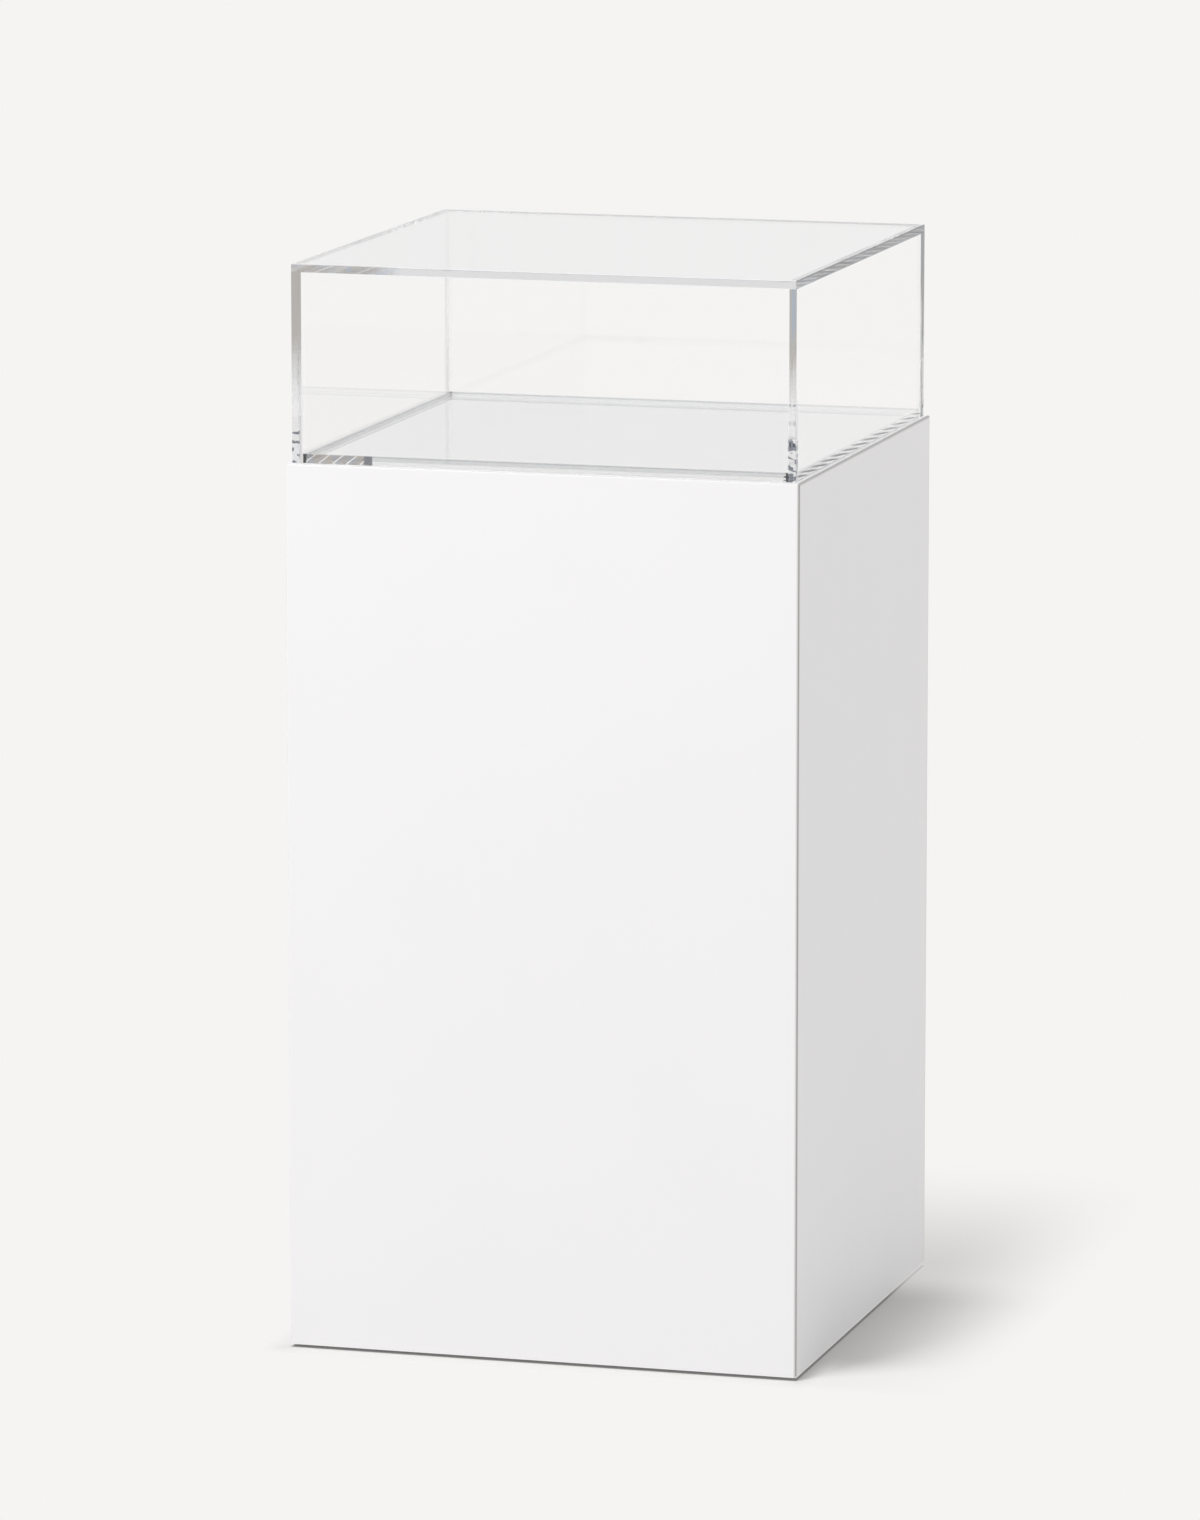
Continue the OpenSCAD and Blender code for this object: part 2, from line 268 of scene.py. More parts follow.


# Painted shade on the side that is turned from the light: fine dark lines at the joints there, the upright
# mitres and the deck's right one. Distances from them are measured round the corner.
def makeSeamShade(x, y, z):
    fromUpright = (halfWidth - x) + (halfDepth - abs(y))
    fromDeck = (halfWidth - x) + (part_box("deck_panel")[1].z - z)
    upright = fromUpright.fade(0.0, lacquer["seamReach"])
    deck = abs(fromDeck - lacquer["deckSeam"]).fade(0.0, lacquer["deckReach"])
    return upright.atLeast(deck * lacquer["deckShare"])


def makeLacquer():
    material, paint = newPaint("white_lacquer")
    point = paint.objectPoint()
    x, y, z = paint.axes(point)
    seamShade = makeSeamShade(x, y, z)
    drift = paint.noise(point, lacquer["mottleScale"], detail=3.0)
    clean = np.array(lacquer["colour"])
    base = paint.blend(drift, clean * (1 - 2 * lacquer["mottle"]), clean)
    # painted shade along the joints on the shaded right edges
    base = paint.blend(seamShade * lacquer["seamShare"], base, lacquer["seamColour"])
    # painted highlight: the right panel's lower edge is painted paler, as if its arris caught the light
    foot = (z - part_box("right_panel")[0].z).fade(0.0, lacquer["footReach"])
    foot = foot * x.isOver(halfWidth - lacquer["skin"])
    base = paint.blend(foot, base, lacquer["footColour"])
    polish = (paint.noise(point, lacquer["polishScale"], detail=4.0) - 0.5) * lacquer["roughnessSpread"]
    peel = paint.noise(point, lacquer["peelScale"], detail=1.0)
    roll = paint.noise(point, lacquer["rollScale"], detail=1.0)
    height = peel * lacquer["peelShare"] + roll
    paint.surface(paint.principled({
        "Base Color": base,
        "Roughness": lacquer["roughness"] + polish + seamShade * lacquer["seamRoughness"],
        "IOR": lacquer["ior"],
        "Coat Weight": lacquer["coat"],
        "Coat Roughness": lacquer["coatRoughness"],
        "Normal": paint.bump(height, lacquer["reliefStrength"], lacquer["relief"]),
    }))
    return material


panel = {
    "thickness": 0.018,
    "edgeRadius": 0.0015,
    "smoothAngle": 30,           # edges sharper than this many degrees are shaded sharp
    "arcSteps": 5,               # facets in each half of a rounded edge
    "support": 0.0004,           # flat strip that keeps the big face's shading flat
    "seamGap": 0.00015,          # each panel's set-back at the mitre
    "seamDepth": 0.0025,         # how far in that set-back reaches
}


# Places and angles across a panel: an arc of 45 degrees at each rounded end, and the flat between.
def stations(low, high, roundLow):
    radius = panel["edgeRadius"]
    angles = np.linspace(0, math.pi / 4, panel["arcSteps"] + 1)
    places, turns = [[low]], [[0.0]]
    if roundLow:
        places = [np.full(angles.size, low + radius), [low + radius + panel["support"]]]
        turns = [-angles[::-1], [0.0]]
    places += [[high - radius - panel["support"]], np.full(angles.size, high - radius)]
    turns += [[0.0], angles]
    return np.concatenate(places), np.concatenate(turns)


# A panel's outer face is the skin of a box whose edges are rolled: the point at (u, v) is an inner
# box's point plus the radius along the direction (tan a, tan b, 1).
def outerSkin(uRange, vRange, vLowRounded, face):
    radius = panel["edgeRadius"]
    placeU, turnU = stations(*uRange, True)
    placeV, turnV = stations(*vRange, vLowRounded)
    gridU, gridV = np.meshgrid(placeU, placeV)
    leanU, leanV = np.meshgrid(np.tan(turnU), np.tan(turnV))
    way = np.stack([leanU, leanV, np.ones_like(leanU)], axis=-1)
    way /= np.linalg.norm(way, axis=-1, keepdims=True)
    return np.stack([gridU, gridV, np.full_like(gridU, face - radius)], axis=-1) + radius * way


# The numbers of a grid's outermost points, once round.
def rimOf(rows, columns):
    return np.concatenate([
        np.arange(columns), np.arange(1, rows) * columns + columns - 1,
        (rows - 1) * columns + np.arange(columns - 2, -1, -1), np.arange(rows - 2, 0, -1) * columns])


# A panel with rolled outer edges whose walls go inwards at 45 degrees from the outer face's rim, with a
# fine groove at the outside. Where its low end is not rounded, it is cut square.
def panelShell(uRange, vRange, vLowRounded, face):
    thickness = panel["thickness"]
    skin = outerSkin(uRange, vRange, vLowRounded, face)
    rows, columns = skin.shape[:2]
    rim = rimOf(rows, columns)
    column = rim % columns
    row = rim // columns
    # A sign on each axis where the rim lies on a mitre.
    signU = (column == columns - 1) * 1.0 - (column == 0)
    signV = (row == rows - 1) * 1.0 - ((row == 0) & vLowRounded)
    outer = skin.reshape(-1, 3).copy()
    outer[rim] -= np.stack([signU, signV, np.zeros_like(signU)], axis=-1) * panel["seamGap"]
    # Below the rim the walls run straight from corner to corner, so each point follows its own corner's.
    column = np.where(column < columns / 2, 0, columns - 1)
    row = np.where(row < rows / 2, 0, rows - 1)
    signU = np.where(column > 0, 1.0, -1.0)
    signV = np.where(row > 0, 1.0, -1.0 * vLowRounded)
    inwards = np.stack([-signU, -signV, -np.ones_like(signU)], axis=-1)
    groove = outer[row * columns + column] + inwards * panel["seamDepth"]
    shoulder = groove - np.array([0, 0, panel["seamGap"]])
    inner = np.stack([
        signU * (uRange[1] - thickness),
        np.where(row > 0, vRange[1] - thickness, vRange[0] + thickness * vLowRounded),
        np.full(rim.size, face - thickness)], axis=-1)
    # Quads over the outer face and from each of the four rings to the next, and a cap on the last.
    walls = [groove, shoulder, inner]
    here = np.arange(rim.size)
    numbers = [rim] + [len(outer) + level * rim.size + here for level in range(len(walls))]
    beside = (here + 1) % rim.size
    faces = gridFaces(rows, columns)
    for near, far in zip(numbers, numbers[1:]):
        faces += np.stack([near, near[beside], far[beside], far], axis=-1).tolist()
    faces.append(numbers[-1][::-1].tolist())
    return np.concatenate([outer, *walls]), faces


# Turns a panel's own axes (across, up, out) into the case's axes.
def turned(points, across, up, out):
    return points @ np.array([across, up, out], float)


def makePanels(material):
    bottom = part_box("front_panel")[0].z
    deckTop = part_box("deck_panel")[1].z
    ways = {                     # each side's across and outward axes, half its width, and its face's place
        "front": ((1, 0, 0), (0, -1, 0), halfWidth, halfDepth),
        "right": ((0, 1, 0), (1, 0, 0), halfDepth, halfWidth),
        "back": ((-1, 0, 0), (0, 1, 0), halfWidth, halfDepth),
        "left": ((0, -1, 0), (-1, 0, 0), halfDepth, halfWidth),
    }
    pieces = {}
    for side, (across, out, half, face) in ways.items():
        points, faces = panelShell((-half, half), (bottom, deckTop), False, face)
        pieces[side + "_panel"] = (turned(points, across, (0, 0, 1), out), faces)
    points, faces = panelShell((-halfWidth, halfWidth), (-halfDepth, halfDepth), True, deckTop)
    pieces["deck_panel"] = (points, faces)
    for name, (points, faces) in pieces.items():
        piece = addPiece("lacquered_" + name, points, faces, material, panel["smoothAngle"])
        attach(piece, "plinth")
        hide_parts(name)


acrylic = {
    "colour": (1.0, 1.0, 1.0),
    "wearShare": 0.997,                  # share of that colour which the least polished spots pass
    "polishScale": 60.0,
    "roughness": 0.004,
    "passing": (0.970, 0.970, 0.968),    # what a lamp's light keeps at each surface
    "ior": 1.491,
    "waviness": 0.0000004,               # rise of the sheet's slow waves, in metres
    "waveScale": 14.0,
    "waveStrength": 0.4,
    "depthColour": (0.80, 0.81, 0.82),   # the tint that long ways through the sheet take
    "depthDensity": 0.5,
    "skin": 0.0003,                      # the outer layer that a cut edge's finish is kept to
    "farEdge": (0.50, 0.50, 0.52),       # what the top sheet's left and back edges pass, as painted shade
    "haze": (0.82, 0.82, 0.83),
    "hazeRoughness": 0.6,
    "frontHaze": 0.50,                   # how much of the clear look the front edge's haze hides
    "frontFrom": (-0.17, -0.13),         # where along the front that haze sets in, in metres
    "arrisHaze": 0.95,                   # the same for the front edge's upper arris, which is scraped
    "leftHaze": 0.50,                    # and for the left edge
}


# Cement that ran down the welded corners of the cover as a pale haze, and near the foot dark drops of
# painted shade.
cementAndShade = {
    "reach": (0.0072, 0.0080),           # distances round a corner within which it ran, in metres
    "top": (0.045, 0.085),               # heights between which the haze ends
    "haze": 0.52,                        # how much of the clear look the haze hides
    "dropTop": (0.038, 0.044),           # heights between which the drops end
    "dropScale": 170.0,
    "dropSquash": 0.5,                   # a drop's height as a share of its width
    "dropEdge": (0.53, 0.57),            # levels of the noise between which a drop begins
    "dark": (0.16, 0.18, 0.23),
}


def makeCementHazeAndShade(paint, point):
    x, y, z = paint.axes(point)
    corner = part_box("cover_top")[1]
    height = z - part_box("cover_left")[0].z
    atCorner = ((corner.x - abs(x)) + (corner.y - abs(y))).fade(*cementAndShade["reach"])
    haze = atCorner * height.fade(*cementAndShade["top"])
    squashed = paint.stretched(point, (cementAndShade["dropSquash"], cementAndShade["dropSquash"], 1))
    shadeDrops = paint.noise(squashed, cementAndShade["dropScale"], detail=1.0).smooth(*cementAndShade["dropEdge"])
    shadeDrops = shadeDrops * atCorner * height.fade(*cementAndShade["dropTop"])
    shadeDrops = shadeDrops * (x - y).isOver(-corner.x)    # none at the back left corner
    return haze * (1 - shadeDrops) * cementAndShade["haze"], shadeDrops


# Painted reflections: slanted streaks along the right side, at its foot and at the top sheet's edge.
paintedStreaks = {
    "pitch": 0.0386,                     # metres from one mark to the next
    "wander": 0.012,                     # how far they stray from that, in metres
    "wanderScale": 60.0,
    "thinning": 0.10,                    # share of the pitch that both ends of a mark lose at the back
}
paintedFootStreaks = {
    "slope": 12.0,                       # metres along the side for a metre of height
    "band": (0.0006, 0.0020, 0.0050, 0.0066),    # heights between which they fade in and out
    "width": (0.08, 0.26, 0.44, 0.66),   # shares of the pitch between which each fades in and out
    "dark": (0.10, 0.11, 0.13),          # what a painted streak passes
}
paintedRimStreaks = {
    "slope": 11.0,
    "band": (0.0006, 0.0018, 0.0056, 0.0070),
    "width": (0.05, 0.25, 0.45, 0.70),
    "dark": (0.28, 0.29, 0.32),          # what the edge passes between its pale painted streaks
}


# Waves along the side that the height pushes on, within a band of heights; they thin out to the back.
def makePaintedStreaks(paint, y, height, kind):
    rise, full, fall, end = kind["width"]
    lowest, low, high, highest = kind["band"]
    wander = paint.noise(paint.objectPoint(), paintedStreaks["wanderScale"], detail=2.0) * paintedStreaks["wander"]
    wave = ((y + height * kind["slope"] + wander) / paintedStreaks["pitch"]).fraction()
    thin = y.smooth(-halfDepth, halfDepth) * paintedStreaks["thinning"]
    mark = (wave - thin).smooth(rise, full) * (wave + thin).fade(fall, end)
    return mark * height.smooth(lowest, low) * height.fade(high, highest)


# Painted shade on the top sheet's cut edges: the left and back pass less light; the right is dark, with
# painted pale streaks.
def tintEdges(paint, point, base):
    x, y, z = paint.axes(point)
    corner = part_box("cover_top")[1]
    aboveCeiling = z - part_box("cover_top")[0].z
    inEdge = aboveCeiling.isOver(0.0)
    farEdge = (-1 * x).atLeast(y).isOver(corner.x - acrylic["skin"]) * inEdge
    base = paint.blend(farEdge, base, acrylic["farEdge"])
    pale = makePaintedStreaks(paint, y, aboveCeiling, paintedRimStreaks)
    rightEdge = x.isOver(corner.x - acrylic["skin"]) * inEdge * (1 - pale)
    return paint.blend(rightEdge, base, paintedRimStreaks["dark"])


# The top sheet's front and left edges are a little hazy, and the front one's upper arris more so.
def makeEdgeHaze(paint, point):
    x, y, z = paint.axes(point)
    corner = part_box("cover_top")[1]
    inEdge = (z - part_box("cover_top")[0].z).isOver(0.0)
    alongFront = x.smooth(*acrylic["frontFrom"])
    front = (-1 * y).isOver(corner.y - acrylic["skin"]) * inEdge * alongFront
    left = (-1 * x).isOver(corner.x - acrylic["skin"]) * inEdge
    arris = (-1 * y).isOver(corner.y - cover["arrisSkin"]) * z.isOver(corner.z - cover["arrisSkin"])
    haze = (front * acrylic["frontHaze"]).atLeast(left * acrylic["leftHaze"])
    return haze.atLeast(arris * alongFront * acrylic["arrisHaze"])


def makeAcrylic():
    material, paint = newPaint("clear_acrylic")
    point = paint.objectPoint()
    x, y, z = paint.axes(point)
    waves = paint.noise(point, acrylic["waveScale"], detail=1.0)
    polish = paint.noise(point, acrylic["polishScale"], detail=3.0)
    tint = np.array(acrylic["colour"])
    base = paint.blend(polish, tint * acrylic["wearShare"], tint)
    cementHaze, shadeDrops = makeCementHazeAndShade(paint, point)
    # painted shade: dark drops at the corners' foot
    base = paint.blend(shadeDrops, base, cementAndShade["dark"])
    right = x.isOver(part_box("locating_strip_right")[0].x)
    # painted reflection streaks on the cover's right side near its foot
    paintedMarks = makePaintedStreaks(paint, y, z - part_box("cover_left")[0].z, paintedFootStreaks) * right
    base = paint.blend(paintedMarks, base, paintedFootStreaks["dark"])
    clear = paint.principled({
        "Base Color": tintEdges(paint, point, base),
        "Roughness": polish * acrylic["roughness"],
        "IOR": acrylic["ior"],
        "Transmission Weight": 1.0,
        "Normal": paint.bump(waves, acrylic["waveStrength"], acrylic["waviness"]),
    })
    matt = paint.principled({"Base Color": acrylic["haze"], "Roughness": acrylic["hazeRoughness"]})
    haze = cementHaze.atLeast(makeEdgeHaze(paint, point))
    hazed = paint.node("ShaderNodeMixShader", {}, {0: haze, 1: clear, 2: matt})
    passLight(paint, hazed, paint.node("ShaderNodeVolumeAbsorption", {}, {
        "Color": acrylic["depthColour"], "Density": acrylic["depthDensity"]}))
    return material


# Lets a lamp's light and the light between matt surfaces straight through a clear sheet.
def passLight(paint, clear, depth=None):
    through = paint.node("ShaderNodeBsdfTransparent", {}, {"Color": acrylic["passing"]})
    passes = paint.path("Is Shadow Ray").atLeast(paint.path("Is Diffuse Ray"))
    paint.surface(paint.node("ShaderNodeMixShader", {}, {0: passes, 1: clear, 2: through}), depth)


cover = {
    "arris": 0.0004,
    "arrisSkin": 0.00044,        # the outer layer that the arris' finish is kept to
    "weldFillet": 0.0003,        # cement that rounds the inside corners
}
seat = 0.00025                   # air under the cover where it stands on the lacquer
bond = 0.00005                   # how far bonded clear pieces bed into the lacquer


def makeCover(material):
    low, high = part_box("cover_top")
    wallLow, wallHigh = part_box("cover_left")
    width = high.x
    depth = high.y
    sheet = wallHigh.x - wallLow.x
    ceiling = low.z
    foot = wallLow.z + seat
    arris = cover["arris"]
    fillet = cover["weldFillet"]
    inside = (width - sheet, depth - sheet, fillet)
    points, faces = stackRings([
        cutRectangle(inside[0] - fillet, inside[1] - fillet, fillet, ceiling),
        cutRectangle(*inside, ceiling - fillet),
        cutRectangle(*inside, foot),
        cutRectangle(width, depth, arris, foot),
        cutRectangle(width, depth, arris, high.z - arris),
        cutRectangle(width - arris, depth - arris, arris, high.z),
    ])
    piece = addPiece("clear_cover", points, faces, material)
    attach(piece, "cover")
    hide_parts("cover_top", "cover_front", "cover_back", "cover_left", "cover_right")


# A clear block in a node's box, with cut upright and upper edges, that stands for that node.
def standIn(node, arris, material):
    low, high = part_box(node)
    half = (high - low) / 2
    middle = (high + low).xy / 2
    points, faces = stackRings([
        cutRectangle(half.x, half.y, arris, low.z - bond, middle),
        cutRectangle(half.x, half.y, arris, high.z - arris, middle),
        cutRectangle(half.x - arris, half.y - arris, arris, high.z, middle),
    ])
    piece = addPiece("clear_" + node, points, faces, material)
    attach(piece, "plinth")
    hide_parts(node)


plate = {"arris": 0.0004}


def makePlate(material):
    standIn("base_plate", plate["arris"], material)


strip = {
    "arris": 0.0003,
    "band": 0.004,                       # the outer layer of the case that one side's strip lies in
    "top": (0.66, 0.67, 0.69),           # what the sawn top edge passes, as painted shade
    "face": (0.86, 0.87, 0.88),          # what the faces below it pass, as painted shade
    "foot": (0.97, 0.97, 0.97),          # and what the foot passes, where the painted shade gives way
    "topReach": (0.0010, 0.0020),        # depths below the top between which each gives way, in metres
    "footReach": (0.0042, 0.0054),
    "frontShare": 0.88,                  # painted shade: the front strip passes less than the back one
    "leftShare": 0.84,                   # and so does the left one
    "streakScale": 130.0,
    "sawnRoughness": 0.05,               # of the top edge
    "roughness": 0.006,
    "relief": 0.000002,                  # height of the streaks, in metres
    "reliefStrength": 0.3,
}
paintedEndStreaks = {
    "length": 0.068,                     # of the painted reflection at the front strip's end, in metres
    "lastLength": 0.008,                 # of the dark block that ends it
    "pitch": 0.0135,                     # metres from one pale line to the next
    "slope": 1.3,                        # how far the lines lean, in metres for a metre of depth
    "line": (0.82, 0.92),                # shares of the pitch between which a block turns into its line
    "streaks": (0.45, 0.55),             # levels of the streaks between which cool grey turns warm
    "cool": (0.44, 0.47, 0.52),
    "warm": (0.52, 0.48, 0.44),
    "dark": (0.20, 0.21, 0.24),
}


# A painted reflection at the front strip's end: grey blocks with pale slanted lines, and a dark last one.
def makePaintedEnd(paint, streak, fromEnd, depth):
    block = ((fromEnd + depth * paintedEndStreaks["slope"]) / paintedEndStreaks["pitch"]).fraction()
    rough = paint.blend(streak.smooth(*paintedEndStreaks["streaks"]), paintedEndStreaks["cool"], paintedEndStreaks["warm"])
    last = fromEnd.isOver(paintedEndStreaks["length"] - paintedEndStreaks["lastLength"])
    rough = paint.blend(last, rough, paintedEndStreaks["dark"])
    return paint.blend(block.smooth(*paintedEndStreaks["line"]) * (1 - last), rough, grey(1))


# Clear strips with painted shade: a grey tint, darkest at the sawn top edge, pale at the foot, darker in
# front and on the left.
def makeStripAcrylic():
    material, paint = newPaint("strip_acrylic")
    point = paint.objectPoint()
    x, y, z = paint.axes(point)
    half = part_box("locating_strip_back")[1].y
    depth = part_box("locating_strip_front")[1].z - z
    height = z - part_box("locating_strip_right")[0].z
    streak = paint.noise(point, strip["streakScale"], detail=2.0)
    below = depth.smooth(*strip["topReach"])
    foot = depth.smooth(*strip["footReach"])
    tint = paint.blend(below, strip["top"], strip["face"])
    tint = paint.blend(foot, tint, strip["foot"])
    left = (-1 * x).isOver(half - strip["band"])
    tint = paint.product(tint, paint.blend(left * (1 - foot), grey(1), grey(strip["leftShare"])))
    # The right strip's painted shade clears towards the back, and it bears painted reflection streaks.
    right = x.isOver(half - strip["band"])
    tint = paint.blend(right * y.smooth(-half, 0.0), tint, grey(1))
    tint = paint.blend(makePaintedStreaks(paint, y, height, paintedFootStreaks) * right, tint, paintedFootStreaks["dark"])
    fromEnd = x + half
    # painted reflection at the front strip's left end
    onEnd = (1 - fromEnd.isOver(paintedEndStreaks["length"])) * (1 - (y + half).isOver(strip["band"]))
    tint = paint.blend(onEnd, tint, makePaintedEnd(paint, streak, fromEnd, depth))
    # painted shade: the front strip is darker than the back one
    front = y.fade(-half, half) * (1 - foot)
    shade = paint.blend(front, grey(1), grey(strip["frontShare"]))
    clear = paint.principled({
        "Base Color": paint.product(tint, shade),
        "Roughness": (1 - below) * strip["sawnRoughness"] + streak * strip["roughness"],
        "IOR": acrylic["ior"],
        "Transmission Weight": 1.0,
        "Normal": paint.bump(streak, strip["reliefStrength"], strip["relief"]),
    })
    passLight(paint, clear)
    return material


def makeStrips():
    material = makeStripAcrylic()
    for side in sides:
        standIn("locating_strip_" + side, strip["arris"], material)


softwood = {
    "early": (0.66, 0.47, 0.27),
    "late": (0.47, 0.29, 0.14),
    "lateFrom": (0.35, 0.95),    # shares of a ring between which its wood darkens
    "ringWidth": 0.0035,
    "pith": (0.31, 0.47, 0.13),  # where the heart of the log lies from the origin, in metres
    "wander": 0.012,             # how far the rings stray from a circle, in metres
    "wanderScale": 9.0,
    "stretch": 0.06,             # how fast the wood changes along the grain, beside across it
    "fibre": (0.80, 0.62, 0.40),
    "fibreShare": 0.25,          # how much of that colour the fibres take
    "fibreScale": 900.0,
    "roughness": 0.62,
    "fibreRoughness": 0.2,       # and how much rougher they are
    "lateGloss": 0.08,           # how much smoother the dark wood is
    "lateHeight": 0.5,           # how far it stands out, beside the fibres
    "relief": 0.0002,
    "reliefStrength": 0.5,
}


# Pine with its rings round a pith that runs beside the piece along the given axis.
def makeSoftwood(axis):
    material, paint = newPaint("softwood_along_" + axis)
    scale = [softwood["stretch"] if name == axis else 1 for name in "xyz"]
    grain = paint.stretched(paint.objectPoint(), scale, softwood["pith"])
    first, second = (place for name, place in zip("xyz", paint.axes(grain)) if name != axis)
    wander = paint.noise(grain, softwood["wanderScale"], detail=2.0) * softwood["wander"]
    radius = (first * first + second * second) ** 0.5 + wander
    late = (radius / softwood["ringWidth"]).fraction().smooth(*softwood["lateFrom"])
    fibre = paint.noise(grain, softwood["fibreScale"], detail=2.0)
    base = paint.blend(late, softwood["early"], softwood["late"])
    base = paint.blend(fibre * softwood["fibreShare"], base, softwood["fibre"])
    rough = softwood["roughness"] + fibre * softwood["fibreRoughness"] - late * softwood["lateGloss"]
    height = fibre + late * softwood["lateHeight"]
    paint.surface(paint.principled({
        "Base Color": base,
        "Roughness": rough,
        "Normal": paint.bump(height, softwood["reliefStrength"], softwood["relief"]),
    }))
    return material


fibreboard = {
    "dark": (0.36, 0.25, 0.15),
    "pale": (0.52, 0.39, 0.25),
    "flockScale": 260.0,
    "flockGrit": 0.7,            # how strongly its finest grains show
    "cloud": (0.45, 0.33, 0.21),
    "cloudShare": 0.3,           # how much of that colour the clouds take
    "cloudScale": 25.0,
    "roughness": 0.75,
    "roughnessSpread": 0.2,      # how far the roughness drifts round that
    "relief": 0.0002,
    "reliefStrength": 0.4,
}


def makeFibreboard():
    material, paint = newPaint("fibreboard")
    point = paint.objectPoint()
    flock = paint.noise(point, fibreboard["flockScale"], detail=4.0, roughness=fibreboard["flockGrit"])
    cloud = paint.noise(point, fibreboard["cloudScale"], detail=2.0)
    base = paint.blend(flock, fibreboard["dark"], fibreboard["pale"])
    base = paint.blend(cloud * fibreboard["cloudShare"], base, fibreboard["cloud"])
    paint.surface(paint.principled({
        "Base Color": base,
        "Roughness": fibreboard["roughness"] + (flock - 0.5) * fibreboard["roughnessSpread"],
        "Normal": paint.bump(flock, fibreboard["reliefStrength"], fibreboard["relief"]),
    }))
    return material


zinc = {
    "dark": (0.58, 0.60, 0.63),
    "pale": (0.76, 0.77, 0.79),
    "cloudScale": 300.0,
    "turningScale": 90.0,
    "turningSquash": 30,         # how much finer the turned lines are up the axis than round it
    "roughness": 0.28,
    "cloudRoughness": 0.14,
    "turningRoughness": 0.08,
    "relief": 0.00005,
    "reliefStrength": 0.3,
}


def makeZinc():
    material, paint = newPaint("zinc_steel")
    point = paint.objectPoint()
    cloud = paint.noise(point, zinc["cloudScale"], detail=3.0)
    squashed = paint.stretched(point, (1, 1, zinc["turningSquash"]))
    turning = paint.noise(squashed, zinc["turningScale"], detail=2.0)
    rough = zinc["roughness"] + cloud * zinc["cloudRoughness"] + turning * zinc["turningRoughness"]
    paint.surface(paint.principled({
        "Base Color": paint.blend(cloud, zinc["dark"], zinc["pale"]),
        "Metallic": 1.0,
        "Roughness": rough,
        "Normal": paint.bump(turning, zinc["reliefStrength"], zinc["relief"]),
    }))
    return material


nylon = {
    "dark": (0.018, 0.018, 0.020),
    "pale": (0.030, 0.030, 0.032),
    "cloudScale": 80.0,
    "grainScale": 1400.0,
    "roughness": 0.48,
    "roughnessSpread": 0.15,     # how far the roughness drifts round that
    "relief": 0.00008,
    "reliefStrength": 0.4,
}


def makeNylon():
    material, paint = newPaint("pad_nylon")
    point = paint.objectPoint()
    grain = paint.noise(point, nylon["grainScale"], detail=2.0)
    cloud = paint.noise(point, nylon["cloudScale"], detail=2.0)
    paint.surface(paint.principled({
        "Base Color": paint.blend(cloud, nylon["dark"], nylon["pale"]),
        "Roughness": nylon["roughness"] + (grain - 0.5) * nylon["roughnessSpread"],
        "Normal": paint.bump(grain, nylon["reliefStrength"], nylon["relief"]),
    }))
    return material


def finishNodes():
    woods = {axis: makeSoftwood(axis) for axis in "xyz"}
    board = makeFibreboard()
    steel = makeZinc()
    pad = makeNylon()
    sideAxis = {"front": "x", "back": "x", "left": "y", "right": "y"}
    finishes = {"middle_rib": board, "threaded_inserts": steel}
    finishes |= {name + "_screws": steel for name in ("deck_cleat", "base_rail", "foot_block")}
    for name, material in (("foot_block_", board), ("batten_", woods["z"]),
                           ("foot_pad_", pad), ("foot_stem_", steel)):
        finishes |= {name + corner: material for corner in corners}
    for name in ("deck_cleat_", "base_rail_"):
        finishes |= {name + side: woods[sideAxis[side]] for side in sides}
    for name, material in finishes.items():
        for slot in nodes[name].material_slots:
            slot.material = material


